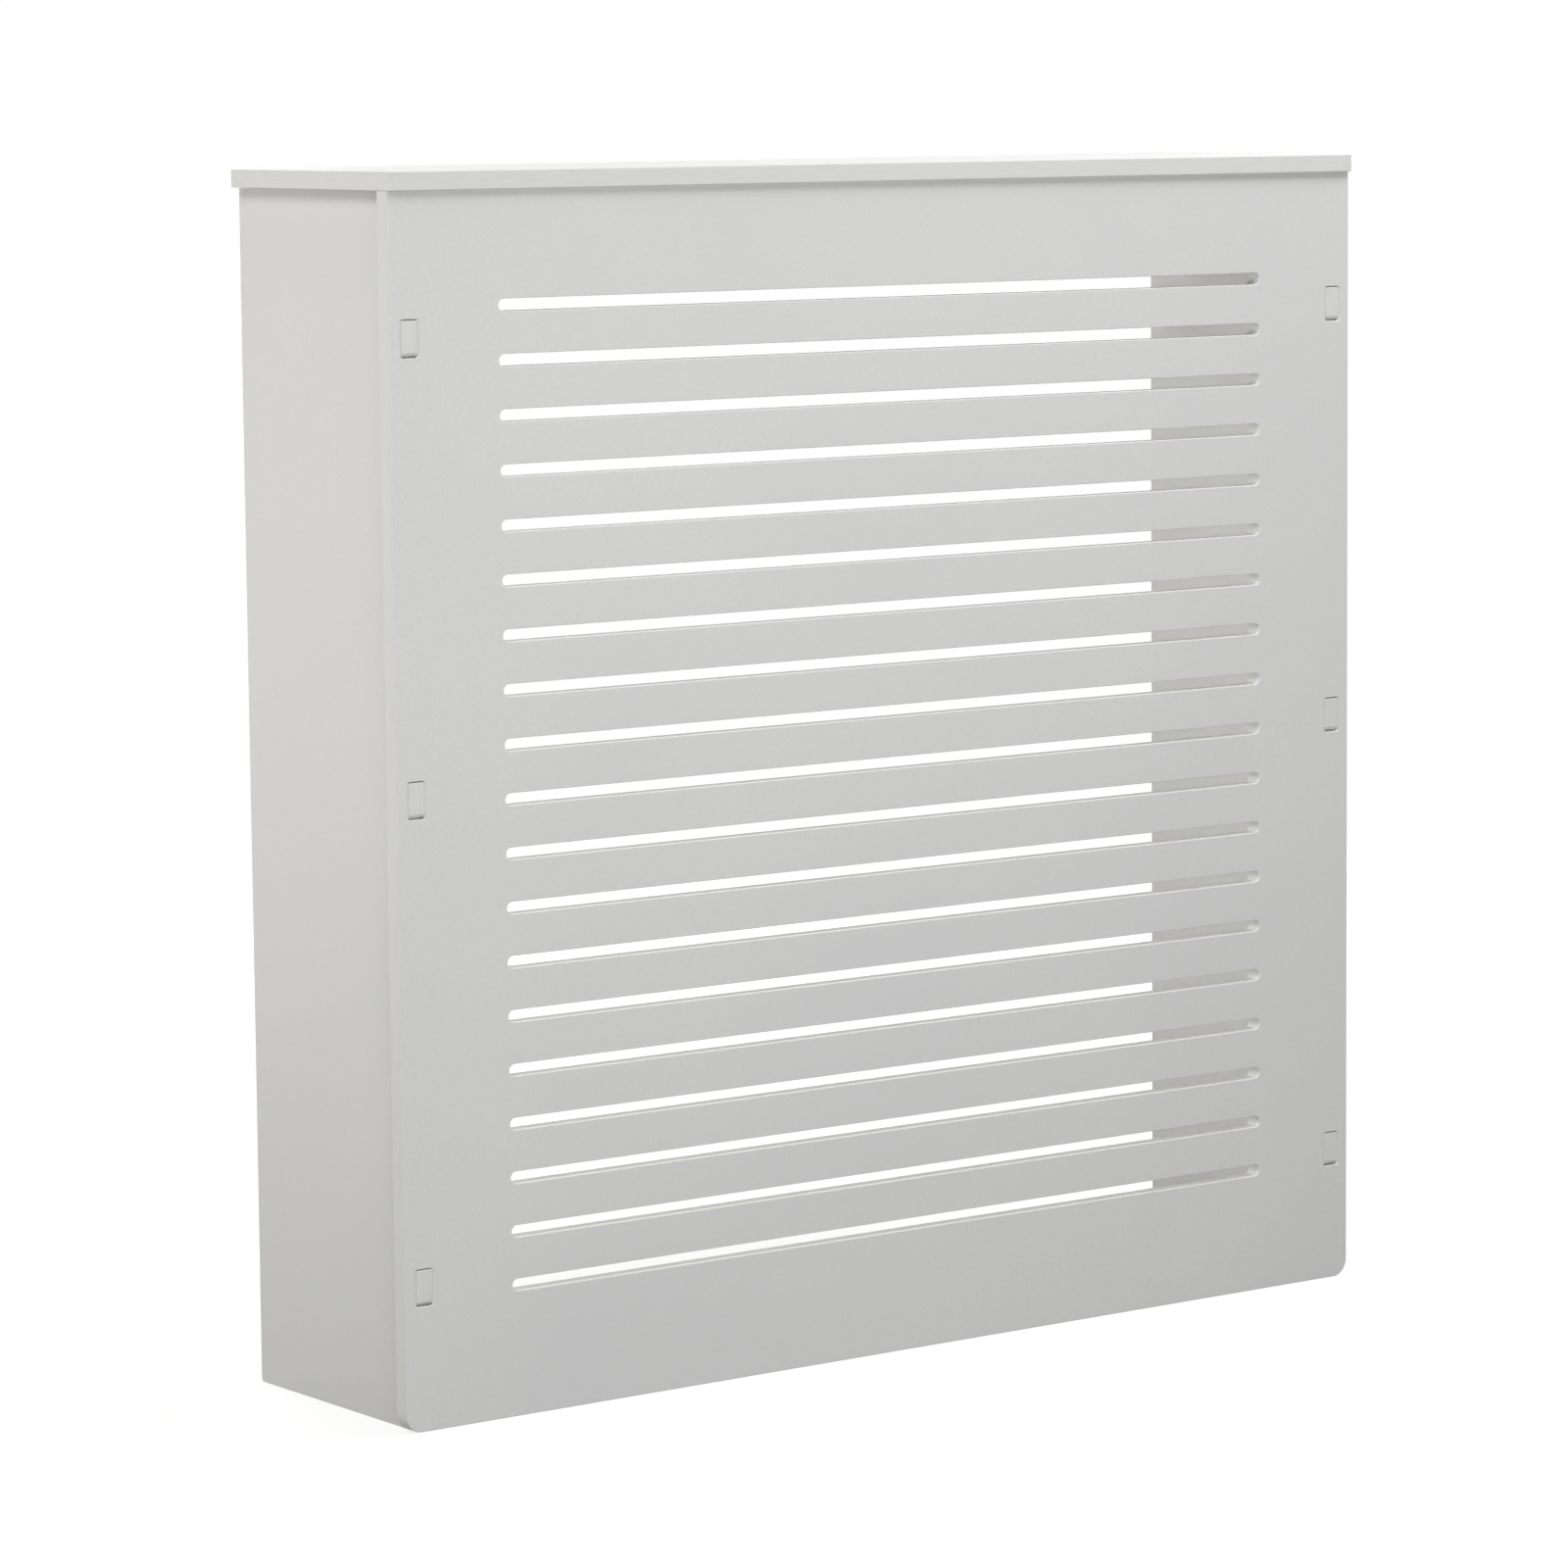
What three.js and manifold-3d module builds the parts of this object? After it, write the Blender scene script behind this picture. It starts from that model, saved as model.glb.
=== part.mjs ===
// Radiator cover cabinet: a slotted front board that laps over two side boards, a shelf
// on top and an open back and bottom, all from painted 12 mm fibreboard.
// Millimetres. +X runs along the width, +Y towards the wall and +Z up. The origin is at
// the middle of the footprint, on the floor, and the slotted front faces -Y.

import * as THREE from "three";
import { mergeVertices } from "three/addons/utils/BufferGeometryUtils.js";
import Module from "manifold-3d";

const wasm = await Module();
wasm.setup();

// Driving dimensions: the whole cover and its boards
const coverWidth = 797;
const coverDepth = 196;
const coverHeight = 801;
const board = 12;
const gap = 0.3; // between pieces that touch
const cutStart = 1; // a hole's cutter starts this far outside the board

// The shelf
const shelfDepth = 190;
const shelfOverhang = 3; // in front of the front panel's face

// The front panel
const frontCornerRadius = 12; // bottom corners
const slotCount = 19;
const slotPitch = 35;
const slotHeight = 8;
const slotLength = 633;
const lowestSlotZ = 86;

// The side panels
const sideInset = 9; // from the front panel's edge to the side panel's outer face
const sideCornerRadius = 2.5; // bottom corner at the wall

// The front panel's mortises, and the tenons of the side panels in them
const mortiseMiddles = [93.4, 405.8, 696.7];
const mortiseHeight = 25.1;
const mortiseWidth = 14.5;
const mortiseCornerRadius = 2; // left by the cutter
const tenonHeight = 22.4;
const tenonTopGap = 1; // the tenon sits high in its mortise
const tenonTopRadius = 0.5; // at the tenon's tip
const tenonBottomRadius = 2.5;
const tenonRecess = 0.1; // behind the front panel's face

// The rail across the top of the open back
const railHeight = 60;

// Small hardware
const dowelRadius = 2.95;
const dowelChamfer = 0.8;
const dowelInSide = 8;
const dowelInRail = 20;
const dowelSpacing = 36;
const screwShankRadius = 1.5;
const screwHeadRadius = 3.4;
const screwHeadHeight = 2.2;
const screwLength = 11;
const screwTip = 2.5; // length of the point
const screwHoleRadius = 2; // in a bracket
const pilotDepth = 9.5;
const shelfBracket = { leg: 20, width: 15, sheet: 1.5, boardHoles: [12.5] };
const wallBracket = { leg: 30, boardLeg: 40, width: 20, sheet: 2, boardHoles: [14, 32] };
const wallSlot = { centre: 17, length: 12, width: 5 };
const wallBracketZ = 689;
const bracketFromEnd = 55; // along the side panels
const bracketFromMiddle = 250; // along the front panel and the rail
const legCornerRadius = 3;

// Worked out from the driving dimensions
const frontY = -coverDepth / 2 + shelfOverhang;
const insideY = frontY + board;
const wallY = coverDepth / 2;
const shelfRearY = shelfDepth - coverDepth / 2;
const railFrontY = shelfRearY - board;
const shelfZ = coverHeight - board;
const boardTopZ = shelfZ - gap;
const sideOuterX = coverWidth / 2 - sideInset;
const sideInnerX = sideOuterX - board;
const pilotRadius = screwShankRadius + gap;
const dowelHoleRadius = dowelRadius + gap;
const dowelHeights = [-1, 1].map((s) => boardTopZ - railHeight / 2 + (s * dowelSpacing) / 2);
const uprightScrewZ = shelfZ - gap - shelfBracket.boardHoles[0]; // small brackets, upright leg
const arcSteps = 4; // three.js draws every arc with twice this many
const roundSides = 12; // of a small round piece
const domeSteps = 3; // from a screw head's top to its rim

const paint = { color: 0xe4e3df, roughness: 0.45, metalness: 0 };
const zincSteel = { color: 0xb9bcc0, roughness: 0.35, metalness: 0.9 };
const beech = { color: 0xd2b48c, roughness: 0.7, metalness: 0 };

// A closed geometry as a manifold-3d solid
function solidOf(geometry) {
  const bare = geometry.clone();
  bare.deleteAttribute("normal");
  bare.deleteAttribute("uv");
  const merged = mergeVertices(bare, 1e-4);
  return new wasm.Manifold(
    new wasm.Mesh({
      numProp: 3,
      vertProperties: new Float32Array(merged.attributes.position.array),
      triVerts: new Uint32Array(merged.index.array),
    }),
  );
}

// A manifold-3d solid as a geometry
function geometryOf(solid) {
  const { vertProperties, triVerts } = solid.getMesh();
  const geometry = new THREE.BufferGeometry();
  geometry.setAttribute("position", new THREE.BufferAttribute(vertProperties, 3));
  geometry.setIndex(new THREE.BufferAttribute(triVerts, 1));
  geometry.computeVertexNormals();
  return geometry;
}

function cut(geometry, tools) {
  let solid = solidOf(geometry);
  for (const tool of tools) {
    solid = solid.subtract(solidOf(tool));
  }
  return geometryOf(solid);
}

function join(geometries) {
  const [first, ...rest] = geometries.map(solidOf);
  return geometryOf(rest.reduce((whole, piece) => whole.add(piece), first));
}

function makeMesh(name, geometry, finish) {
  const mesh = new THREE.Mesh(geometry, new THREE.MeshStandardMaterial(finish));
  mesh.name = name;
  return mesh;
}

// A rectangle with its own radius at each corner, from bottom left round to top left
function roundedRectangle(left, bottom, right, top, radii) {
  const [bottomLeft, bottomRight, topRight, topLeft] = radii;
  const shape = new THREE.Shape();
  shape.moveTo(left + bottomLeft, bottom);
  shape.lineTo(right - bottomRight, bottom);
  if (bottomRight) {
    shape.absarc(right - bottomRight, bottom + bottomRight, bottomRight, -Math.PI / 2, 0);
  }
  shape.lineTo(right, top - topRight);
  if (topRight) {
    shape.absarc(right - topRight, top - topRight, topRight, 0, Math.PI / 2);
  }
  shape.lineTo(left + topLeft, top);
  if (topLeft) {
    shape.absarc(left + topLeft, top - topLeft, topLeft, Math.PI / 2, Math.PI);
  }
  shape.lineTo(left, bottom + bottomLeft);
  if (bottomLeft) {
    shape.absarc(left + bottomLeft, bottom + bottomLeft, bottomLeft, Math.PI, 1.5 * Math.PI);
  }
  return shape;
}

// A round-ended hole, long along the first axis of its plane
function roundEndedHole(x, y, length, width) {
  const radius = width / 2;
  const reach = length / 2 - radius;
  const hole = new THREE.Path();
  hole.absarc(x + reach, y, radius, -Math.PI / 2, Math.PI / 2);
  hole.absarc(x - reach, y, radius, Math.PI / 2, 1.5 * Math.PI);
  hole.closePath();
  return hole;
}

function extrude(shape, depth) {
  return new THREE.ExtrudeGeometry(shape, { depth, bevelEnabled: false, curveSegments: arcSteps });
}

// A cylinder from a point, along a direction
function rod(radius, length, start, direction) {
  const geometry = new THREE.CylinderGeometry(radius, radius, length, roundSides);
  const turn = new THREE.Quaternion().setFromUnitVectors(new THREE.Vector3(0, 1, 0), direction);
  geometry.translate(0, length / 2, 0);
  geometry.applyQuaternion(turn);
  geometry.translate(...start);
  return geometry;
}

const alongX = new THREE.Vector3(1, 0, 0);
const alongY = new THREE.Vector3(0, 1, 0);
const alongZ = new THREE.Vector3(0, 0, 1);
const sides = [
  { side: "left", sign: -1 },
  { side: "right", sign: 1 },
];
const sideBracketPlaces = [
  { place: "front", y: insideY + bracketFromEnd },
  { place: "rear", y: shelfRearY - bracketFromEnd },
];

// Blind holes for the screws of the small brackets, in the shelf's underside
function shelfPilotHoles() {
  const offset = gap + shelfBracket.boardHoles[0];
  const holes = [];
  for (const { sign } of sides) {
    for (const { y } of sideBracketPlaces) {
      holes.push([sign * (sideInnerX - offset), y]);
    }
    holes.push([sign * bracketFromMiddle, insideY + offset]);
    holes.push([sign * bracketFromMiddle, railFrontY - offset]);
  }
  return holes.map(([x, y]) => {
    return rod(pilotRadius, pilotDepth + cutStart, [x, y, shelfZ - cutStart], alongZ);
  });
}

function makeTopShelf() {
  const halfWidth = coverWidth / 2;
  const outline = roundedRectangle(-halfWidth, -coverDepth / 2, halfWidth, shelfRearY, [0, 0, 0, 0]);
  const plate = extrude(outline, board);
  plate.translate(0, 0, shelfZ);
  return makeMesh("top_shelf", cut(plate, shelfPilotHoles()), paint);
}

function makeFrontPanel() {
  const halfWidth = coverWidth / 2;
  const radii = [frontCornerRadius, frontCornerRadius, 0, 0];
  const outline = roundedRectangle(-halfWidth, 0, halfWidth, boardTopZ, radii);
  for (let i = 0; i < slotCount; i += 1) {
    outline.holes.push(roundEndedHole(0, lowestSlotZ + i * slotPitch, slotLength, slotHeight));
  }
  for (const { sign } of sides) {
    for (const z of mortiseMiddles) {
      const x = sign * (sideInnerX + board / 2);
      const [halfX, halfZ] = [mortiseWidth / 2, mortiseHeight / 2];
      const corners = Array(4).fill(mortiseCornerRadius);
      outline.holes.push(roundedRectangle(x - halfX, z - halfZ, x + halfX, z + halfZ, corners));
    }
  }
  const plate = extrude(outline, board);
  plate.rotateX(Math.PI / 2);
  plate.translate(0, insideY, 0);
  const outwards = alongY.clone().negate();
  const pilots = sides.map(({ sign }) => {
    const start = [sign * bracketFromMiddle, insideY + cutStart, uprightScrewZ];
    return rod(pilotRadius, pilotDepth + cutStart, start, outwards);
  });
  return makeMesh("front_panel", cut(plate, pilots), paint);
}

// Holes in a side panel's inner face, which looks along -sign * X
function sidePanelHoles(sign) {
  const into = alongX.clone().multiplyScalar(sign);
  const faceX = sign * (sideInnerX - cutStart);
  const holes = [];
  for (const { y } of sideBracketPlaces) {
    holes.push(rod(pilotRadius, pilotDepth + cutStart, [faceX, y, uprightScrewZ], into));
  }
  for (const reach of wallBracket.boardHoles) {
    const start = [faceX, wallY - reach, wallBracketZ];
    holes.push(rod(pilotRadius, pilotDepth + cutStart, start, into));
  }
  for (const z of dowelHeights) {
    const start = [faceX, railFrontY + board / 2, z];
    holes.push(rod(dowelHoleRadius, dowelInSide + gap + cutStart, start, into));
  }
  return holes;
}

function makeSidePanel({ side, sign }) {
  const shoulderY = insideY + gap;
  const tenonTipY = frontY + tenonRecess;
  const corner = [0, sideCornerRadius, 0, 0];
  const shapes = [roundedRectangle(shoulderY, 0, wallY, boardTopZ, corner)];
  for (const z of mortiseMiddles) {
    const high = z + mortiseHeight / 2 - tenonTopGap;
    const low = high - tenonHeight;
    const radii = [tenonBottomRadius, 0, 0, tenonTopRadius];
    shapes.push(roundedRectangle(tenonTipY, low, shoulderY + board, high, radii));
  }
  // The outline's plane is Y and Z, and its thickness runs along X.
  const toUpright = new THREE.Matrix4().makeBasis(alongY, alongZ, alongX);
  const pieces = shapes.map((shape) => extrude(shape, board).applyMatrix4(toUpright));
  const plate = join(pieces);
  plate.translate(sign > 0 ? sideInnerX : -sideOuterX, 0, 0);
  return makeMesh(`${side}_side_panel`, cut(plate, sidePanelHoles(sign)), paint);
}

function makeRearRail() {
  const length = 2 * (sideInnerX - gap);
  const rail = new THREE.BoxGeometry(length, board, railHeight);
  const middleY = railFrontY + board / 2;
  rail.translate(0, middleY, boardTopZ - railHeight / 2);
  const holes = [];
  for (const { sign } of sides) {
    const out = alongX.clone().multiplyScalar(sign);
    const screwStart = [sign * bracketFromMiddle, railFrontY - cutStart, uprightScrewZ];
    holes.push(rod(pilotRadius, pilotDepth + cutStart, screwStart, alongY));
    for (const z of dowelHeights) {
      const start = [sign * (sideInnerX - gap - dowelInRail - gap), middleY, z];
      holes.push(rod(dowelHoleRadius, dowelInRail + gap + cutStart, start, out));
    }
  }
  return makeMesh("rear_rail", cut(rail, holes), paint);
}

function makeDowel({ side, sign }, z, place) {
  const length = dowelInRail + dowelInSide;
  const profile = [
    [0, 0],
    [dowelRadius - dowelChamfer, 0],
    [dowelRadius, dowelChamfer],
    [dowelRadius, length - dowelChamfer],
    [dowelRadius - dowelChamfer, length],
    [0, length],
  ].map(([x, y]) => new THREE.Vector2(x, y));
  const dowel = new THREE.LatheGeometry(profile, roundSides);
  dowel.rotateZ(-sign * (Math.PI / 2));
  const mesh = makeMesh(`${side}_rail_dowel_${place}`, dowel, beech);
  mesh.position.set(sign * (sideInnerX - gap - dowelInRail), railFrontY + board / 2, z);
  return mesh;
}

// A wood screw with a domed head. It points along +Z, with the underside of its head at
// the origin.
function screwGeometry() {
  const dome = Array.from({ length: domeSteps + 1 }, (_, i) => {
    const angle = (i / domeSteps) * (Math.PI / 2);
    return [screwHeadRadius * Math.sin(angle), -screwHeadHeight * Math.cos(angle)];
  });
  dome[0][0] = 0;
  dome[domeSteps][1] = 0;
  const profile = [
    ...dome,
    [screwShankRadius, 0],
    [screwShankRadius, screwLength - screwTip],
    [0, screwLength],
  ].map(([x, y]) => new THREE.Vector2(x, y));
  return new THREE.LatheGeometry(profile, roundSides).rotateX(Math.PI / 2);
}

// An angle bracket in the corner between a board on its -X side and a face above it. One
// leg runs along +X under that face, and the other runs down the board.
function bracketGeometry({ leg, boardLeg = leg, width, sheet, boardHoles, slot }) {
  const half = width / 2;
  const round = legCornerRadius;
  const upper = roundedRectangle(0, -half, leg, half, [0, round, round, 0]);
  const lower = roundedRectangle(0, -half, boardLeg, half, [0, round, round, 0]);
  if (slot) {
    upper.holes.push(roundEndedHole(slot.centre, 0, slot.length, slot.width));
  } else {
    upper.holes.push(roundEndedHole(boardHoles[0], 0, 2 * screwHoleRadius, 2 * screwHoleRadius));
  }
  for (const reach of boardHoles) {
    lower.holes.push(roundEndedHole(reach, 0, 2 * screwHoleRadius, 2 * screwHoleRadius));
  }
  const upperPlate = extrude(upper, sheet);
  upperPlate.translate(0, 0, -sheet);
  // The lower leg's outline runs down, along -Z, and its thickness runs along +X.
  const downwards = new THREE.Matrix4().makeBasis(alongZ.clone().negate(), alongY, alongX);
  const lowerPlate = extrude(lower, sheet);
  lowerPlate.applyMatrix4(downwards);
  return join([upperPlate, lowerPlate]);
}

// A bracket with its screws, as a group whose origin is the corner of the two boards
function makeBracket(name, size, screwsUpper) {
  const group = new THREE.Group();
  const bracket = makeMesh(name, bracketGeometry(size), zincSteel);
  bracket.position.set(gap, 0, -gap);
  group.add(bracket);
  const underHead = 2 * gap + size.sheet;
  if (screwsUpper) {
    const screw = makeMesh(`${name}_screw_shelf`, screwGeometry(), zincSteel);
    screw.position.set(gap + size.boardHoles[0], 0, -underHead);
    group.add(screw);
  }
  size.boardHoles.forEach((reach, i) => {
    const number = size.boardHoles.length > 1 ? `_${i + 1}` : "";
    const screw = makeMesh(`${name}_screw_board${number}`, screwGeometry(), zincSteel);
    screw.rotation.y = -Math.PI / 2;
    screw.position.set(underHead, 0, -gap - reach);
    group.add(screw);
  });
  return group;
}

function makeShelfBracket(name, x, y, turn) {
  const group = makeBracket(name, shelfBracket, true);
  group.position.set(x, y, shelfZ);
  group.rotation.z = turn;
  return group;
}

function makeWallBracket({ side, sign }) {
  const group = makeBracket(`${side}_wall_bracket`, { ...wallBracket, slot: wallSlot }, false);
  group.rotation.x = -Math.PI / 2;
  const turned = new THREE.Group();
  turned.add(group);
  turned.rotation.y = sign > 0 ? Math.PI : 0;
  turned.position.set(sign * sideInnerX, wallY, wallBracketZ);
  return turned;
}

const radiatorCover = new THREE.Group();
radiatorCover.add(makeTopShelf(), makeFrontPanel(), makeRearRail());
for (const end of sides) {
  const { side, sign } = end;
  const facing = sign > 0 ? Math.PI : 0;
  radiatorCover.add(makeSidePanel(end), makeWallBracket(end));
  for (const { place, y } of sideBracketPlaces) {
    const name = `${side}_side_${place}_bracket`;
    radiatorCover.add(makeShelfBracket(name, sign * sideInnerX, y, facing));
  }
  const x = sign * bracketFromMiddle;
  radiatorCover.add(
    makeShelfBracket(`${side}_front_panel_bracket`, x, insideY, Math.PI / 2),
    makeShelfBracket(`${side}_rail_bracket`, x, railFrontY, -Math.PI / 2),
    makeDowel(end, dowelHeights[0], "lower"),
    makeDowel(end, dowelHeights[1], "upper"),
  );
}

export default radiatorCover;
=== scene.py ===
import math

import bmesh
import bpy
from mathutils import Matrix, Vector


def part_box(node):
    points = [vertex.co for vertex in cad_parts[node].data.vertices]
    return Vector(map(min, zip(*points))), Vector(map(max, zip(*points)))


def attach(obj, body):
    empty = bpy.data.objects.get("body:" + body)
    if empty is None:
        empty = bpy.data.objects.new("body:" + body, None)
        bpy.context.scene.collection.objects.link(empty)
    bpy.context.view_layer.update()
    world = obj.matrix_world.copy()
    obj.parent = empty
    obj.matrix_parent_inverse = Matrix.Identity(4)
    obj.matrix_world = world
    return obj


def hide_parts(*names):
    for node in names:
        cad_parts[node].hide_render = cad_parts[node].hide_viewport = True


# A radiator cover made from painted 12 mm fibreboard: a slotted front board, two side
# boards whose tenons come through it, a shelf, and a rail across the open back, held by
# zinc-plated brackets and screws. Lengths are in metres, and MM turns millimetres into them.

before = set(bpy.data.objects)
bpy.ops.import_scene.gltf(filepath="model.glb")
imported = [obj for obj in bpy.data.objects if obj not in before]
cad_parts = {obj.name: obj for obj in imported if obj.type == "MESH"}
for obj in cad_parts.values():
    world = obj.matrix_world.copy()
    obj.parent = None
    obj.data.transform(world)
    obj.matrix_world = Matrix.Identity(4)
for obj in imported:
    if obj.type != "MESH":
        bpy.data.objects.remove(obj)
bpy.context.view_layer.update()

MM = 0.001
X, Y, Z = Vector((1, 0, 0)), Vector((0, 1, 0)), Vector((0, 0, 1))
EVEN = Vector((1, 1, 1))  # the same scale along every axis
SIDES = (("left", -1), ("right", 1))

# The boards
ARRIS = 0.5 * MM  # rounding of the panels' long edges
SHELF_ARRIS = 0.6 * MM
JOINT = 0.05 * MM  # a closed joint between two boards
FRONT_CORNER = 12 * MM
SIDE_CORNER = 2.5 * MM
SLOT_COUNT = 19
SLOT_PITCH = 35 * MM
SLOT_LENGTH = 633 * MM
SLOT_HEIGHT = 8 * MM
LOWEST_SLOT = 86 * MM
MORTISE_MIDDLES = (93.4 * MM, 405.8 * MM, 696.7 * MM)
MORTISE_HEIGHT = 25.1 * MM
MORTISE_WIDTH = 14.5 * MM
MORTISE_CORNER = 2 * MM
TENON_HEIGHT = 22.4 * MM
TENON_TOP_GAP = 1 * MM  # the tenon sits high in its mortise
TENON_TOP_RADIUS = 0.6 * MM
TENON_BOTTOM_RADIUS = 2.5 * MM
# What the paint leaves open of a mortise: a shallow groove all round the tenon, and a deeper
# gap above and below it. Each step has its depth and how far it is drawn in from the mortise
# at its sides and at its ends.
GROOVE_STEPS = ((-0.6 * MM, 0, 0), (0, 0, 0), (0.6 * MM, 0.3 * MM, 0.3 * MM),
                (0.6 * MM, 1.2 * MM, 0.4 * MM), (5 * MM, 1.6 * MM, 0.7 * MM))

# The hardware
GAP = 0.3 * MM  # between a bracket and its board
CLEARANCE = 0.4 * MM  # by which a cutter starts outside what it cuts
SMALL_BRACKET = {"leg": 20 * MM, "board_leg": 20 * MM, "width": 15 * MM, "sheet": 1.5 * MM,
                 "board_holes": (12.5 * MM,)}
WALL_BRACKET = {"leg": 30 * MM, "board_leg": 40 * MM, "width": 20 * MM, "sheet": 2 * MM,
                "board_holes": (14 * MM, 32 * MM)}
WALL_SLOT = {"centre": 17 * MM, "length": 12 * MM, "width": 5 * MM}
WALL_BRACKET_HEIGHT = 689 * MM
BRACKET_FROM_END = 55 * MM
BRACKET_FROM_MIDDLE = 250 * MM
LEG_CORNER = 3 * MM
SHEET_ARRIS = 0.15 * MM
SCREW_HOLE = 2 * MM
HEAD_RADIUS = 3.4 * MM
HEAD_HEIGHT = 2.2 * MM
HEAD_RIM = 0.12 * MM  # the bevel under the head's edge
RECESS_ARM = (2.1 * MM, 0.9 * MM)  # from the screw's axis, above the head and at the bottom
RECESS_HALF_WIDTH = (0.55 * MM, 0.35 * MM)
RECESS_DEPTH = 1.4 * MM
SCREW_LENGTH = 11 * MM
SCREW_TIP = 2.5 * MM
THREAD_ROOT = 1.25 * MM
THREAD_CREST = 1.7 * MM
THREAD_PITCH = 1.6 * MM
THREAD_HALF_WIDTH = 0.24  # of the pitch, at the root
POINT_RADIUS = 0.02 * MM
PILOT_RADIUS = 1.8 * MM
DOWEL_RADIUS = 2.95 * MM
DOWEL_HOLE_RADIUS = 3.25 * MM
DOWEL_FLUTES = 14
DOWEL_FLUTE_DEPTH = 0.25 * MM

# The camera, set by the photograph's straight edges
CAMERA_PLACE = Vector((-2.3737, -3.2245, 0.8636))
CAMERA_YAW, CAMERA_PITCH, CAMERA_ROLL = 37.57, 6.55, -0.341
CAMERA_LENS = 135.5
CAMERA_SHIFT = (-0.1, -0.025)


# Node trees

class Value:
    """One output of a node. Arithmetic on values adds the Math nodes that it stands for."""

    def __init__(self, nodes, socket):
        self.nodes = nodes
        self.socket = socket

    def math(self, operation, first, second=0.0):
        return self.nodes.add("ShaderNodeMath", {"operation": operation}, {0: first, 1: second})

    def __add__(self, other):
        return self.math("ADD", self, other)

    def __rsub__(self, other):
        return self.math("SUBTRACT", other, self)

    def __mul__(self, other):
        return self.math("MULTIPLY", self, other)

    def __abs__(self):
        return self.math("ABSOLUTE", self)

    __radd__ = __add__
    __rmul__ = __mul__


class Nodes:
    """A node tree and the one method that adds nodes to it."""

    def __init__(self, tree):
        self.tree = tree
        tree.nodes.clear()

    def add(self, kind, settings=None, sockets=None, output=0):
        node = self.tree.nodes.new(kind)
        for name, setting in (settings or {}).items():
            if name == "stops":
                self.set_stops(node.color_ramp, setting)
            else:
                setattr(node, name, setting)
        for key, given in (sockets or {}).items():
            if isinstance(given, Value):
                self.tree.links.new(given.socket, node.inputs[key])
            else:
                node.inputs[key].default_value = given
        return Value(self, node.outputs[output]) if node.outputs else node

    def set_stops(self, ramp, stops):
        while len(ramp.elements) < len(stops):
            ramp.elements.new(1.0)
        for element, (position, level) in zip(ramp.elements, stops):
            element.position = position
            element.color = (level, level, level, 1)

    def blend(self, factor, first, second):
        """A colour between two colours."""
        settings = {"data_type": "RGBA", "blend_type": "MIX"}
        return self.add("ShaderNodeMix", settings, {0: factor, 6: first, 7: second}, output=2)

    def ramp(self, value, *stops):
        """The value pulled through a ramp of (position, level) stops."""
        return self.add("ShaderNodeValToRGB", {"stops": stops}, {"Fac": value})

    def noise(self, place, scale, detail=2.0, roughness=0.5):
        sockets = {"Vector": place, "Scale": scale, "Detail": detail, "Roughness": roughness}
        return self.add("ShaderNodeTexNoise", None, sockets)

    def stretched(self, place, scale):
        """A place with each of its axes scaled on its own."""
        settings = {"operation": "MULTIPLY"}
        return self.add("ShaderNodeVectorMath", settings, {0: place, 1: scale})

    def bump(self, height):
        """A normal from a height in metres."""
        return self.add("ShaderNodeBump", None, {"Height": height, "Distance": 1.0})


def colour(red, green, blue):
    """A colour from its 0 to 255 display values."""
    def linear(level):
        level /= 255
        return level / 12.92 if level <= 0.04045 else ((level + 0.055) / 1.055) ** 2.4
    return (linear(red), linear(green), linear(blue), 1)


def new_material(name):
    material = bpy.data.materials.new(name)
    material.use_nodes = True
    return material, Nodes(material.node_tree)


def finish_material(nodes, sockets):
    shader = nodes.add("ShaderNodeBsdfPrincipled", None, sockets)
    nodes.add("ShaderNodeOutputMaterial", None, {"Surface": shader})


# Finishes

def satin_white(name, across):
    """Satin white paint on fibreboard. The board's thickness runs across, so its cut edges,
    where the core drinks the paint, can be told from its faces."""
    material, nodes = new_material(name)
    place = nodes.add("ShaderNodeTexCoord", output="Object")
    facing = nodes.add("ShaderNodeTexCoord", output="Normal")
    dot = nodes.add("ShaderNodeVectorMath", {"operation": "DOT_PRODUCT"},
                    {0: facing, 1: across}, output="Value")
    edge = 1 - nodes.ramp(abs(dot), (0.45, 0.0), (0.75, 1.0))
    cloud = nodes.noise(place, 5.0, detail=3.0)
    speckle = nodes.noise(place, 900.0, detail=1.0)
    stipple = nodes.noise(place, 420.0, detail=3.0, roughness=0.6)
    swell = nodes.noise(place, 38.0, detail=2.0)
    layers = nodes.noise(nodes.stretched(place, EVEN + 28.0 * across), 60.0, detail=4.0)
    fibres = nodes.noise(nodes.stretched(place, EVEN + 3.0 * across), 1400.0, detail=2.0)

    paint = nodes.blend(nodes.ramp(cloud, (0.3, 0.0), (0.7, 1.0)),
                        colour(223, 223, 223), colour(227, 227, 226))
    paint = nodes.blend(nodes.ramp(speckle, (0.35, 0.4), (0.55, 0.0)), paint, colour(217, 217, 216))
    edge_paint = nodes.blend(nodes.ramp(layers, (0.35, 0.0), (0.65, 1.0)),
                             colour(222, 222, 220), colour(228, 228, 226))
    roughness = 0.4 + 0.06 * stipple + 0.05 * cloud
    face_height = stipple * (0.018 * MM) + swell * (0.06 * MM)
    edge_height = fibres * (0.03 * MM) + layers * (0.03 * MM)
    height = face_height + edge * edge_height
    finish_material(nodes, {
        "Base Color": nodes.blend(edge, paint, edge_paint),
        "Roughness": roughness,
        "Specular IOR Level": 0.4,
        "Normal": nodes.bump(height),
    })
    return material


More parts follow.
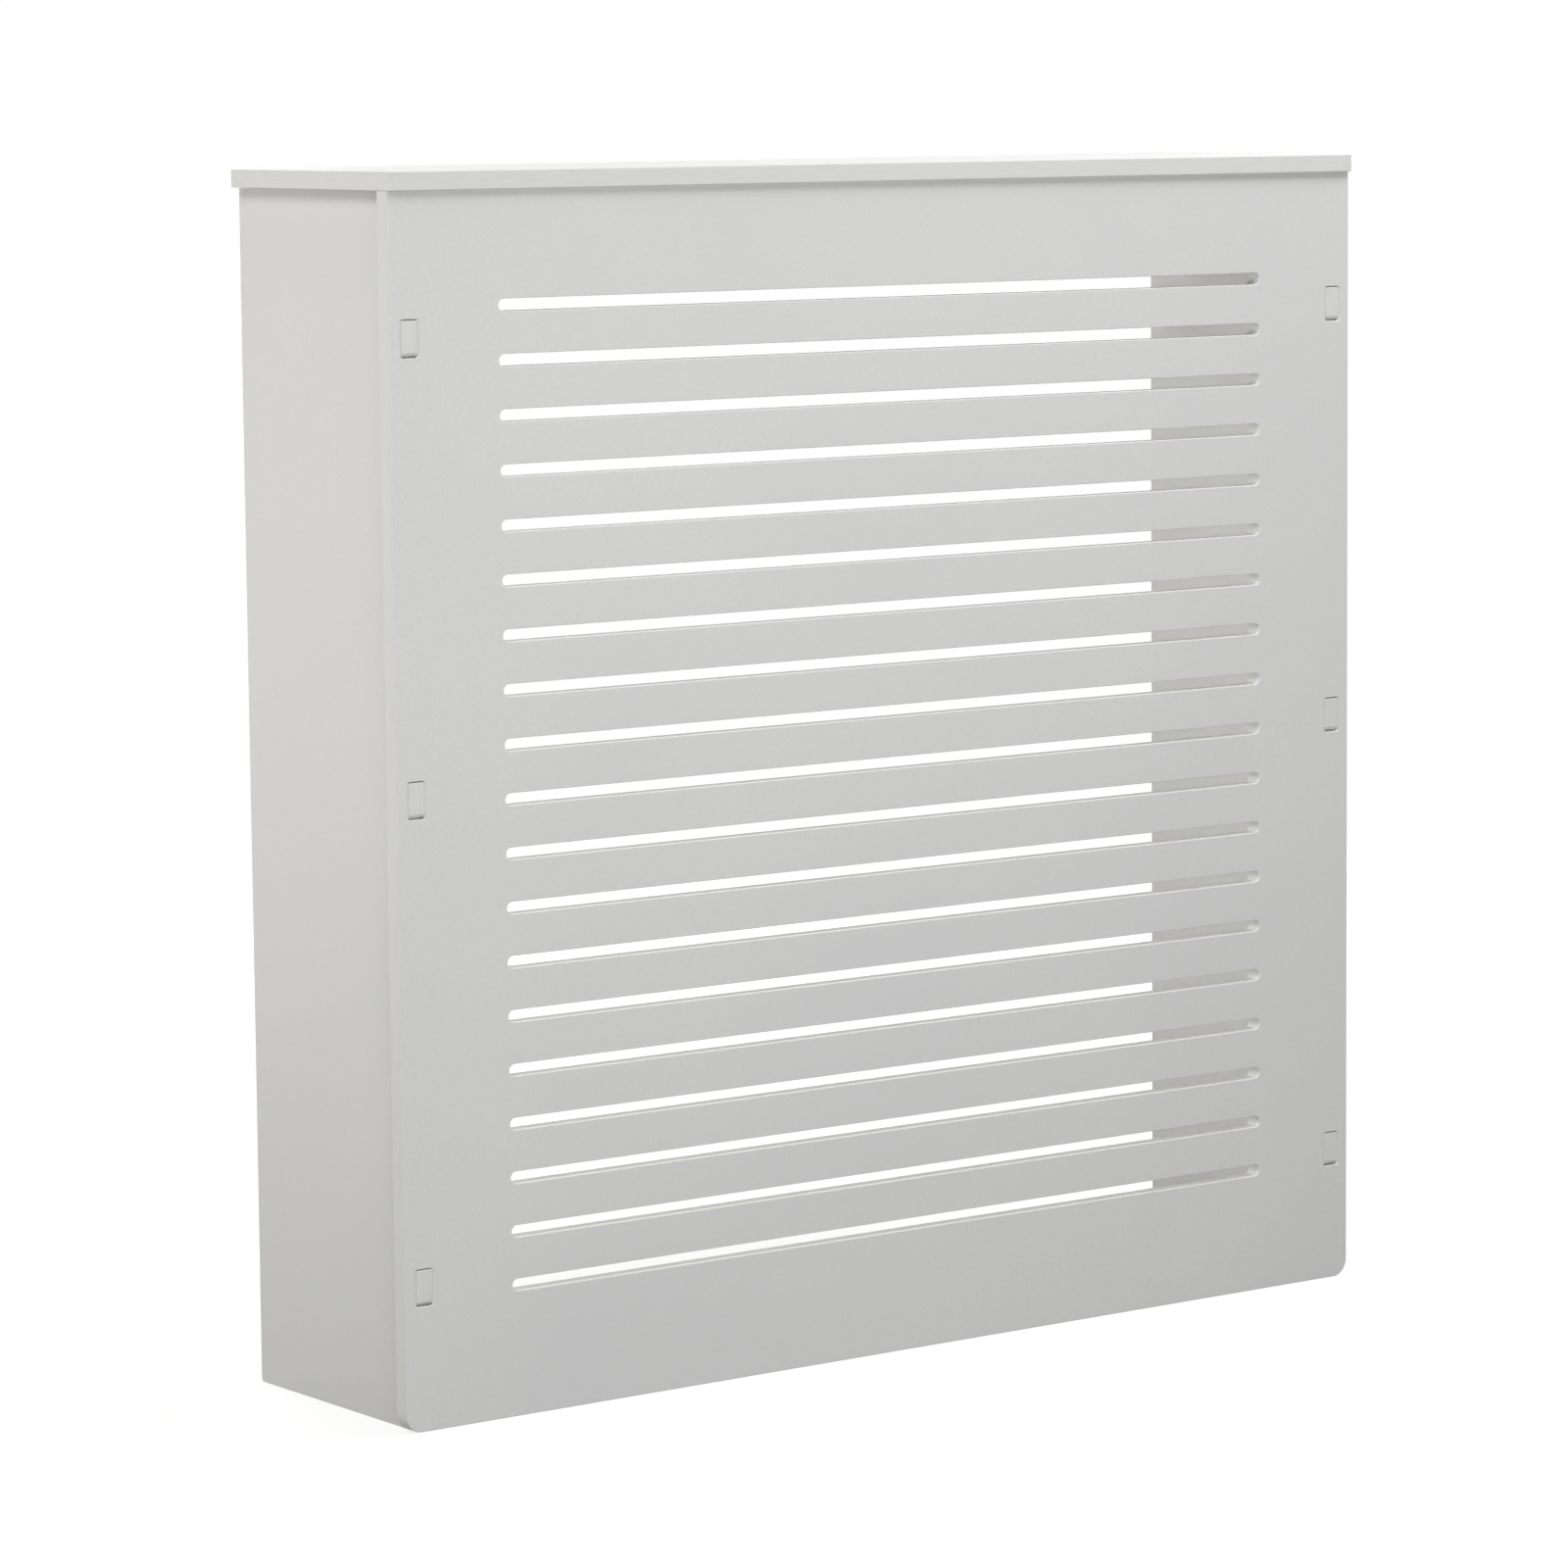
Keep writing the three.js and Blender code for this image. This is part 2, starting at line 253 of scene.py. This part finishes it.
def zinc_plate(name, tone, brush_along):
    """Bright zinc plate on pressed steel, with the faint rolling lines of the sheet."""
    material, nodes = new_material(name)
    place = nodes.add("ShaderNodeTexCoord", output="Object")
    bloom = nodes.noise(place, 260.0, detail=3.0)
    lines = nodes.noise(nodes.stretched(place, 24 * EVEN - 22.0 * brush_along), 110.0)
    grit = nodes.noise(place, 2600.0, detail=2.0)
    dark, light = tone
    finish_material(nodes, {
        "Base Color": nodes.blend(nodes.ramp(bloom, (0.3, 0.0), (0.7, 1.0)), dark, light),
        "Metallic": 1.0,
        "Roughness": 0.27 + 0.14 * bloom + 0.08 * lines,
        "Normal": nodes.bump(lines * (0.006 * MM) + grit * (0.004 * MM)),
    })
    return material


def bare_beech(name):
    """Planed beech whose grain runs along X, with its short dark flecks."""
    material, nodes = new_material(name)
    place = nodes.add("ShaderNodeTexCoord", output="Object")
    grain = nodes.noise(nodes.stretched(place, (0.08, 1, 1)), 900.0, detail=4.0)
    flecks = nodes.noise(nodes.stretched(place, (0.25, 1, 1)), 1500.0, detail=1.0)
    wood = nodes.blend(nodes.ramp(grain, (0.35, 0.0), (0.65, 1.0)),
                       colour(196, 160, 118), colour(218, 186, 146))
    finish_material(nodes, {
        "Base Color": nodes.blend(nodes.ramp(flecks, (0.62, 0.0), (0.7, 0.8)), wood,
                                  colour(150, 108, 70)),
        "Roughness": 0.62 + 0.12 * grain,
        "Normal": nodes.bump(grain * (0.04 * MM)),
    })
    return material


# Outlines in a plane, in metres

def arc(centre, radius, start, sweep, steps):
    """Points on an arc, in degrees, ends included."""
    turns = [math.radians(start + sweep * i / steps) for i in range(steps + 1)]
    return [(centre[0] + radius * math.cos(t), centre[1] + radius * math.sin(t)) for t in turns]


def rounded_rectangle(left, bottom, right, top, radii, steps=10):
    """A rectangle with its own radius at each corner, from bottom left round to top left."""
    corners = ((left, bottom, 180), (right, bottom, 270), (right, top, 0), (left, top, 90))
    points = []
    for (x, y, start), radius in zip(corners, radii):
        if radius:
            centre = (x + radius if x == left else x - radius, y + radius if y == bottom else y - radius)
            points += arc(centre, radius, start, 90, steps)
        else:
            points.append((x, y))
    return points


def round_ended(x, y, length, width, steps=14):
    """A lying slot with half-round ends."""
    radius, reach = width / 2, (length - width) / 2
    return arc((x + reach, y), radius, -90, 180, steps) + arc((x - reach, y), radius, 90, 180, steps)


# Meshes

def plate(outline, holes, thickness, arris):
    """A plate about its own XY plane: an outline and its holes, filled and extruded with
    rounded arrises. The curve is drawn in millimetres, where its fill is exact enough."""
    curve = bpy.data.curves.new("plate", "CURVE")
    curve.dimensions = "2D"
    curve.fill_mode = "BOTH"
    curve.extrude = (thickness / 2 - arris) / MM
    curve.bevel_depth = arris / MM
    curve.bevel_resolution = 2
    curve.offset = -arris / MM
    for ring in (outline, *holes):
        spline = curve.splines.new("POLY")
        spline.points.add(len(ring) - 1)
        for point, (x, y) in zip(spline.points, ring):
            point.co = (x / MM, y / MM, 0, 1)
        spline.use_cyclic_u = True
    holder = bpy.data.objects.new("plate", curve)
    mesh = bpy.data.meshes.new_from_object(holder)
    bpy.data.objects.remove(holder)
    bpy.data.curves.remove(curve)
    solid = bmesh.new()
    solid.from_mesh(mesh)
    bpy.data.meshes.remove(mesh)
    bmesh.ops.remove_doubles(solid, verts=solid.verts, dist=0.01)
    solid.transform(Matrix.Scale(MM, 4))
    return solid


def lofted(rings):
    """A closed solid through rings of equally many points, with its first and last rings filled."""
    solid = bmesh.new()
    made = [[solid.verts.new(point) for point in ring] for ring in rings]
    for low, high in zip(made, made[1:]):
        for i in range(len(low)):
            j = (i + 1) % len(low)
            solid.faces.new((low[i], low[j], high[j], high[i]))
    solid.faces.new(reversed(made[0]))
    solid.faces.new(made[-1])
    return solid


def ring_at(height, radius_at, sides):
    """Points round the Z axis at a height, with the radius that each angle has."""
    turns = [2 * math.pi * i / sides for i in range(sides)]
    return [(radius_at(t) * math.cos(t), radius_at(t) * math.sin(t), height) for t in turns]


def face_outwards(solid):
    bmesh.ops.recalc_face_normals(solid, faces=solid.faces)
    if solid.calc_volume(signed=True) < 0:
        bmesh.ops.reverse_faces(solid, faces=solid.faces)


def add_piece(name, node, solid, place, finish):
    """Puts a bmesh in its place as a piece of the object that stands for a CAD node."""
    solid.transform(place)
    face_outwards(solid)
    mesh = bpy.data.meshes.new(name)
    solid.to_mesh(mesh)
    solid.free()
    mesh.materials.append(finish)
    piece = bpy.data.objects.new(name, mesh)
    bpy.context.scene.collection.objects.link(piece)
    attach(piece, "root")
    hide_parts(node)
    return piece


def cut_away(piece, solid):
    """Cuts a bmesh out of a piece."""
    mesh = bpy.data.meshes.new("cutter")
    face_outwards(solid)
    solid.to_mesh(mesh)
    solid.free()
    cutter = bpy.data.objects.new("cutter", mesh)
    bpy.context.scene.collection.objects.link(cutter)
    cut = piece.modifiers.new("cut", "BOOLEAN")
    cut.operation = "DIFFERENCE"
    cut.solver = "EXACT"
    cut.object = cutter
    bpy.context.view_layer.update()
    graph = bpy.context.evaluated_depsgraph_get()
    whole = bpy.data.meshes.new_from_object(piece.evaluated_get(graph))
    piece.modifiers.clear()
    piece.data = whole
    bpy.data.objects.remove(cutter)
    bpy.data.meshes.remove(mesh)


def smooth(piece, sharp_over=50):
    """Smooth shading that keeps the flats flat and breaks at the sharp edges."""
    piece.data.shade_smooth()
    piece.data.set_sharp_from_angle(angle=math.radians(sharp_over))
    weigh = piece.modifiers.new("flats", "WEIGHTED_NORMAL")
    weigh.keep_sharp = True


# Places: axes of a plate's own X, Y and Z, and its middle

def axes(x, y, z, middle):
    place = Matrix((x, y, z)).transposed().to_4x4()
    place.translation = middle
    return place


def facing_front(middle_y):
    return axes(X, Z, -Y, (0, middle_y, 0))


def facing_side(middle_x):
    return axes(Y, Z, X, (middle_x, 0, 0))


# The boards

front_low, front_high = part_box("front_panel")
shelf_low, shelf_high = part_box("top_shelf")
rail_low, rail_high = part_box("rear_rail")
side_low, side_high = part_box("right_side_panel")
BOARD = shelf_high.z - shelf_low.z
BOARD_TOP = shelf_low.z - JOINT
SIDE_MIDDLE = (side_low.x + side_high.x) / 2
INSIDE = front_high.y

board_paint = {
    "lying": satin_white("satin_white_shelf", Z),
    "front": satin_white("satin_white_front", Y),
    "side": satin_white("satin_white_side", X),
}
bracket_zinc = zinc_plate("zinc_plated_sheet", (colour(196, 198, 201), colour(214, 216, 218)), X)
screw_zinc = zinc_plate("zinc_plated_wire", (colour(200, 201, 203), colour(220, 221, 223)), Y)
dowel_beech = bare_beech("bare_beech")


def drill_holes(board, holes):
    """Blind round holes in a board, each from a start along a direction."""
    solid = bmesh.new()
    for start, direction, radius, depth in holes:
        turn = direction.to_track_quat("Z", "Y").to_matrix().to_4x4()
        middle = Matrix.Translation(start + direction * (depth / 2))
        bmesh.ops.create_cone(solid, cap_ends=True, segments=24, radius1=radius,
                              radius2=radius, depth=depth, matrix=middle @ turn)
    cut_away(board, solid)


def make_shelf(holes):
    outline = rounded_rectangle(shelf_low.x, shelf_low.y, shelf_high.x, shelf_high.y, (0, 0, 0, 0))
    place = Matrix.Translation((0, 0, (shelf_low.z + shelf_high.z) / 2))
    solid = plate(outline, (), BOARD, SHELF_ARRIS)
    shelf = add_piece("painted_shelf", "top_shelf", solid, place, board_paint["lying"])
    drill_holes(shelf, holes)
    smooth(shelf)


def make_front(holes):
    radii = (FRONT_CORNER, FRONT_CORNER, 0, 0)
    outline = rounded_rectangle(front_low.x, 0, front_high.x, BOARD_TOP, radii)
    openings = [round_ended(0, LOWEST_SLOT + i * SLOT_PITCH, SLOT_LENGTH, SLOT_HEIGHT)
                for i in range(SLOT_COUNT)]
    place = facing_front((front_low.y + front_high.y) / 2)
    solid = plate(outline, openings, BOARD, ARRIS)
    front = add_piece("painted_front", "front_panel", solid, place, board_paint["front"])
    drill_holes(front, holes)
    for _, sign in SIDES:
        for middle in MORTISE_MIDDLES:
            cut_away(front, tenon_hole(sign * SIDE_MIDDLE, middle))
            cut_away(front, tenon_groove(sign * SIDE_MIDDLE, middle))
    smooth(front)


def tenon_span(middle):
    """The heights that a tenon fills in its mortise."""
    high = middle + MORTISE_HEIGHT / 2 - TENON_TOP_GAP
    return high - TENON_HEIGHT, high


def tenon_hole(x, middle):
    """The closely fitting hole behind the paint round a tenon, as a cutter for the front."""
    low, high = tenon_span(middle)
    half = BOARD / 2 + JOINT
    outline = rounded_rectangle(x - half, low - JOINT, x + half, high + JOINT, (0, 0, 0, 0))
    ends = (front_low.y - CLEARANCE, front_high.y + CLEARANCE)
    return lofted([[(x, y, z) for x, z in outline] for y in ends])


def tenon_groove(x, middle):
    """The part of a mortise that its tenon and the paint leave open, as a cutter for the front."""
    rings = []
    for depth, side_inset, end_inset in GROOVE_STEPS:
        out, up = MORTISE_WIDTH / 2 - side_inset, MORTISE_HEIGHT / 2 - end_inset
        outline = rounded_rectangle(x - out, middle - up, x + out, middle + up,
                                    (MORTISE_CORNER - end_inset,) * 4)
        rings.append([(x, front_low.y + depth, z) for x, z in outline])
    return lofted(rings)


def make_side(side, sign, holes):
    """A side board with its three square tenons."""
    tip, shoulder = side_low.y, INSIDE + JOINT
    outline = [(side_high.y, BOARD_TOP), (shoulder, BOARD_TOP)]
    for middle in reversed(MORTISE_MIDDLES):
        low, high = tenon_span(middle)
        top, bottom = TENON_TOP_RADIUS, TENON_BOTTOM_RADIUS
        outline.append((shoulder, high))
        outline += arc((tip + top, high - top), top, 90, 90, 4)
        outline += arc((tip + bottom, low + bottom), bottom, 180, 90, 8)
        outline.append((shoulder, low))
    outline.append((shoulder, 0))
    outline += arc((side_high.y - SIDE_CORNER, SIDE_CORNER), SIDE_CORNER, 270, 90, 8)
    solid = plate(outline, (), BOARD, ARRIS)
    board = add_piece(f"painted_{side}_side", f"{side}_side_panel", solid,
                      facing_side(sign * SIDE_MIDDLE), board_paint["side"])
    drill_holes(board, holes)
    smooth(board)


def make_rail(holes):
    inner = side_low.x - JOINT
    outline = rounded_rectangle(-inner, rail_low.z, inner, BOARD_TOP, (0, 0, 0, 0))
    place = facing_front((rail_low.y + rail_high.y) / 2)
    solid = plate(outline, (), BOARD, ARRIS)
    rail = add_piece("painted_rail", "rear_rail", solid, place, board_paint["front"])
    drill_holes(rail, holes)
    smooth(rail)


# The hardware. Each bracket is drawn about its corner, with one leg along +X under the shelf
# or the wall's plane, and the other down -Z on its board.

def screw_hole(along):
    """A round hole in the middle of a bracket's strip, as an outline of 24 points."""
    return arc((along, 0), SCREW_HOLE, 0, 345, 23)


def bent_bracket(size, slot):
    """An angle bracket, cut flat from sheet and then bent over a quarter turn."""
    leg, board_leg, sheet = size["leg"], size["board_leg"], size["sheet"]
    bend = 2 * sheet  # outer radius
    middle = bend - sheet / 2
    flat_leg, arc_length = leg - bend, middle * math.pi / 2
    flat_board_leg = board_leg - bend
    half = size["width"] / 2
    outline = rounded_rectangle(0, -half, flat_leg + arc_length + flat_board_leg, half,
                                (LEG_CORNER,) * 4)
    if slot:
        holes = [round_ended(leg - slot["centre"], 0, slot["length"], slot["width"])]
    else:
        holes = [screw_hole(leg - size["board_holes"][0])]
    for reach in size["board_holes"]:
        holes.append(screw_hole(flat_leg + arc_length + reach - bend))
    solid = plate(outline, holes, sheet, SHEET_ARRIS)
    steps = 10
    for i in range(steps + 1):
        bmesh.ops.bisect_plane(solid, geom=[*solid.verts, *solid.edges, *solid.faces],
                               plane_co=(flat_leg + arc_length * i / steps, 0, 0), plane_no=X)
    for vert in solid.verts:
        along, across, out = vert.co
        turned = min(max(along - flat_leg, 0), arc_length) / middle
        radius = middle + out
        x = bend - radius * math.sin(turned)
        z = -bend + radius * math.cos(turned)
        if along < flat_leg:
            x += flat_leg - along
        elif along > flat_leg + arc_length:
            z -= along - flat_leg - arc_length
        vert.co = (x, across, z)
    return solid


def threaded_screw():
    """A wood screw along +Z with a domed head and a thread, its head's underside at the origin."""
    sides, dome_steps, rings_per_turn = 24, 8, 10
    rings = [ring_at(-HEAD_HEIGHT, lambda t: POINT_RADIUS, sides)]
    for i in range(1, dome_steps + 1):
        rise = math.radians(90 * i / dome_steps)
        radius = HEAD_RADIUS * math.sin(rise)
        rings.append(ring_at(-HEAD_HEIGHT * math.cos(rise), lambda t: radius, sides))
    rings[-1] = ring_at(-HEAD_RIM, lambda t: HEAD_RADIUS, sides)
    rings.append(ring_at(0, lambda t: HEAD_RADIUS - HEAD_RIM, sides))

    def thread_radius(height, turn):
        phase = (height / THREAD_PITCH - turn / (2 * math.pi)) % 1
        ridge = max(0, 1 - abs(phase - 0.5) / THREAD_HALF_WIDTH)
        fade = min(1, height / THREAD_PITCH)
        taper = min(1, (SCREW_LENGTH - height) / SCREW_TIP)
        root = THREAD_ROOT * taper ** 0.8
        return max(POINT_RADIUS, root + (THREAD_CREST - THREAD_ROOT) * ridge * fade * taper)

    count = round(SCREW_LENGTH / THREAD_PITCH * rings_per_turn)
    for i in range(count + 1):
        height = SCREW_LENGTH * i / count
        rings.append(ring_at(height, lambda t: thread_radius(height, t), sides))
    return lofted(rings)


def cross_recess():
    """The tapered cross that a driver fits, as a cutter for the screw's head."""
    def cross(height, arm, half):
        quarter = [(arm, -half), (arm, half), (half, half)]
        points = []
        for i in range(4):
            turn = Matrix.Rotation(math.pi / 2 * i, 2)
            points += [turn @ Vector(point) for point in quarter]
        return [(p.x, p.y, height) for p in points]
    heights = (-HEAD_HEIGHT - CLEARANCE, -HEAD_HEIGHT + RECESS_DEPTH)
    return lofted([cross(*row) for row in zip(heights, RECESS_ARM, RECESS_HALF_WIDTH)])


def place_on_shelf(x, y, turn):
    return Matrix.Translation((x, y, shelf_low.z)) @ Matrix.Rotation(turn, 4, "Z")


def place_on_wall(sign):
    corner = Matrix.Translation((sign * side_low.x, side_high.y, WALL_BRACKET_HEIGHT))
    turn = Matrix.Rotation(math.pi if sign > 0 else 0, 4, "Y")
    return corner @ turn @ Matrix.Rotation(-math.pi / 2, 4, "X")


def list_brackets():
    """Each bracket's node name, its board, its place, its size and the slot for a wall screw."""
    made = []
    for side, sign in SIDES:
        facing = math.pi if sign > 0 else 0
        inner = sign * side_low.x
        panel = f"{side}_side_panel"
        front_y, rear_y = INSIDE + BRACKET_FROM_END, shelf_high.y - BRACKET_FROM_END
        middle = sign * BRACKET_FROM_MIDDLE
        made += [
            (f"{side}_side_front_bracket", panel, place_on_shelf(inner, front_y, facing)),
            (f"{side}_side_rear_bracket", panel, place_on_shelf(inner, rear_y, facing)),
            (f"{side}_front_panel_bracket", "front_panel",
             place_on_shelf(middle, INSIDE, math.pi / 2)),
            (f"{side}_rail_bracket", "rear_rail", place_on_shelf(middle, rail_low.y, -math.pi / 2)),
        ]
    made = [(*row, SMALL_BRACKET, None) for row in made]
    for side, sign in SIDES:
        made.append((f"{side}_wall_bracket", f"{side}_side_panel", place_on_wall(sign),
                     WALL_BRACKET, WALL_SLOT))
    return made


def make_screw(node, place, base):
    solid = bmesh.new()
    solid.from_mesh(base.data)
    screw = add_piece(f"threaded_{node}", node, solid, place, screw_zinc)
    smooth(screw, 40)
    start = place.translation
    direction = (place.to_3x3() @ Z).normalized()
    return (start, direction, PILOT_RADIUS, SCREW_LENGTH + GAP)


def make_hardware(holes):
    """The brackets and screws. The hole that each screw needs is noted under its board."""
    base = bpy.data.objects.new("screw", bpy.data.meshes.new("screw"))
    solid = threaded_screw()
    face_outwards(solid)
    solid.to_mesh(base.data)
    solid.free()
    bpy.context.scene.collection.objects.link(base)
    cut_away(base, cross_recess())
    for node, board, corner, size, slot in list_brackets():
        solid = bent_bracket(size, slot)
        place = corner @ Matrix.Translation((GAP, 0, -GAP))
        bracket = add_piece(f"bent_{node}", node, solid, place, bracket_zinc)
        smooth(bracket, 40)
        under_head = 2 * GAP + size["sheet"]
        if not slot:
            reach = GAP + size["board_holes"][0]
            upright = corner @ Matrix.Translation((reach, 0, -under_head))
            holes["top_shelf"].append(make_screw(f"{node}_screw_shelf", upright, base))
        for i, reach in enumerate(size["board_holes"]):
            number = f"_{i + 1}" if len(size["board_holes"]) > 1 else ""
            level = corner @ Matrix.Translation((under_head, 0, -GAP - reach))
            level = level @ Matrix.Rotation(-math.pi / 2, 4, "Y")
            holes[board].append(make_screw(f"{node}_screw_board{number}", level, base))
    bpy.data.objects.remove(base)


def fluted_dowel(length):
    """A dowel along +Z with bevelled ends and fluted sides."""
    sides = DOWEL_FLUTES * 6
    bevel = 0.8 * MM

    def radius_at(turn, drawn_in):
        flute = max(0, math.cos(DOWEL_FLUTES * turn)) ** 2
        return DOWEL_RADIUS - drawn_in - DOWEL_FLUTE_DEPTH * flute

    rings = []
    for height, drawn_in in ((0, bevel), (bevel / 2, bevel / 3), (bevel, 0),
                             (length - bevel, 0), (length - bevel / 2, bevel / 3), (length, bevel)):
        rings.append(ring_at(height, lambda t: radius_at(t, drawn_in), sides))
    return lofted(rings)


def make_dowels(holes):
    for side, sign in SIDES:
        for level in ("lower", "upper"):
            node = f"{side}_rail_dowel_{level}"
            low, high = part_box(node)
            middle = (low + high) / 2
            length = high.x - low.x
            place = Matrix.Translation((low.x, middle.y, middle.z)) @ Matrix.Rotation(math.pi / 2, 4, "Y")
            dowel = add_piece(f"fluted_{node}", node, fluted_dowel(length), place, dowel_beech)
            smooth(dowel, 40)
            hole = (Vector((low.x - GAP, middle.y, middle.z)), X, DOWEL_HOLE_RADIUS, length + 2 * GAP)
            holes[f"{side}_side_panel"].append(hole)
            holes["rear_rail"].append(hole)


# The studio

def make_camera():
    data = bpy.data.cameras.new("camera")
    data.lens = CAMERA_LENS
    data.shift_x, data.shift_y = CAMERA_SHIFT
    camera = bpy.data.objects.new("camera", data)
    turn = Matrix.Rotation(math.radians(-CAMERA_YAW), 4, "Z")
    tilt = Matrix.Rotation(math.radians(90 - CAMERA_PITCH), 4, "X")
    roll = Matrix.Rotation(math.radians(CAMERA_ROLL), 4, "Z")
    camera.matrix_world = Matrix.Translation(CAMERA_PLACE) @ turn @ tilt @ roll
    bpy.context.scene.collection.objects.link(camera)
    bpy.context.scene.camera = camera


def seen_directly(nodes):
    """1 on the rays that show a surface to the camera, straight or in a reflection."""
    rays = nodes.add("ShaderNodeLightPath", output="Is Camera Ray")
    for kind in ("Is Glossy Ray", "Is Transmission Ray"):
        rays = rays.math("MAXIMUM", rays, nodes.add("ShaderNodeLightPath", output=kind))
    return rays


def make_floor():
    """A pale floor that looks white and keeps the object's soft shadow."""
    solid = bmesh.new()
    bmesh.ops.create_grid(solid, x_segments=8, y_segments=8, size=FLOOR_REACH)
    mesh = bpy.data.meshes.new("floor")
    solid.to_mesh(mesh)
    solid.free()
    floor = bpy.data.objects.new("floor", mesh)
    bpy.context.scene.collection.objects.link(floor)
    material, nodes = new_material("pale_floor")
    lit = nodes.add("ShaderNodeBsdfDiffuse", None, {"Color": FLOOR_COLOUR})
    place = nodes.add("ShaderNodeTexCoord", output="Object")
    reach = nodes.add("ShaderNodeVectorMath", {"operation": "LENGTH"}, {0: place}, output="Value")
    far = nodes.ramp(reach * (1 / FLOOR_WHITE_FROM), (FLOOR_SHADOW_REACH / FLOOR_WHITE_FROM, 0), (1, 1))
    strength = (FLOOR_GLOW + (FLOOR_FAR_GLOW - FLOOR_GLOW) * far) * seen_directly(nodes)
    glow = nodes.add("ShaderNodeEmission", None, {"Strength": strength})
    both = nodes.add("ShaderNodeAddShader", None, {0: lit, 1: glow})
    nodes.add("ShaderNodeOutputMaterial", None, {"Surface": both})
    mesh.materials.append(material)


def make_world():
    world = bpy.data.worlds.new("studio")
    bpy.context.scene.world = world
    world.use_nodes = True
    nodes = Nodes(world.node_tree)
    seen = seen_directly(nodes)
    light = nodes.blend(seen, WORLD_LIGHT, (1, 1, 1, 1))
    background = nodes.add("ShaderNodeBackground", None, {"Color": light, "Strength": 1.0})
    nodes.add("ShaderNodeOutputWorld", None, {"Surface": background})


def make_lamp(name, place, target, size, power, tint):
    data = bpy.data.lights.new(name, "AREA")
    data.shape = "SQUARE"
    data.size = size
    data.energy = power
    data.color = tint
    lamp = bpy.data.objects.new(name, data)
    lamp.location = place
    lamp.rotation_euler = (Vector(target) - Vector(place)).to_track_quat("-Z", "Y").to_euler()
    lamp.visible_camera = False
    bpy.context.scene.collection.objects.link(lamp)


FLOOR_REACH = 40
FLOOR_COLOUR = (0.3, 0.3, 0.3, 1)
FLOOR_GLOW = 0.75  # near the object, where the lamps light the floor too
FLOOR_FAR_GLOW = 0.985
FLOOR_SHADOW_REACH = 0.8
FLOOR_WHITE_FROM = 2.5
WORLD_LIGHT = (0.05, 0.05, 0.05, 1)
WHITE, WARM = (1, 1, 1), (1, 0.985, 0.955)

# Each lamp's name, place, target, size, power in watts and tint
STUDIO_LAMPS = (
    ("key_lamp", (-2.3, -1.2, 2.4), (-0.3, -0.1, 0.45), 1.0, 29.0, WHITE),
    ("front_middle_lamp", (0.3, -1.2, 0.6), (0.1, -0.1, 0.5), 0.6, 2.4, WHITE),
    ("front_left_lamp", (-0.9, -1.6, 0.35), (-0.2, -0.1, 0.3), 0.8, 8.2, WHITE),
    ("upper_right_lamp", (0.7, -0.6, 2.0), (0.3, -0.1, 0.75), 0.8, 19.0, WHITE),
    ("upper_left_lamp", (-1.5, -0.3, 1.8), (-0.4, 0, 0.6), 0.8, 3.6, WARM),
    ("left_lamp", (-1.8, 0.4, 1.2), (-0.4, 0, 0.5), 1.0, 3.2, WARM),
    ("rear_left_lamp", (-1.3, 1.4, 0.35), (0.35, 0, 0.55), 0.8, 6.8, WARM),
    ("rear_lamp", (0, 2, 1.2), (0, 0, 0.4), 1.2, 31.0, WARM),
    ("right_lamp", (1.9, 0.55, 0.6), (0.4, 0, 0.4), 1.0, 12.5, WARM),
)

make_camera()
make_floor()
make_world()
for lamp in STUDIO_LAMPS:
    make_lamp(*lamp)

board_holes = {name: [] for name in
               ("top_shelf", "front_panel", "left_side_panel", "right_side_panel", "rear_rail")}
make_hardware(board_holes)
make_dowels(board_holes)
make_shelf(board_holes["top_shelf"])
make_front(board_holes["front_panel"])
make_rail(board_holes["rear_rail"])
for side, sign in SIDES:
    make_side(side, sign, board_holes[f"{side}_side_panel"])

bpy.context.scene.view_settings.view_transform = "Standard"
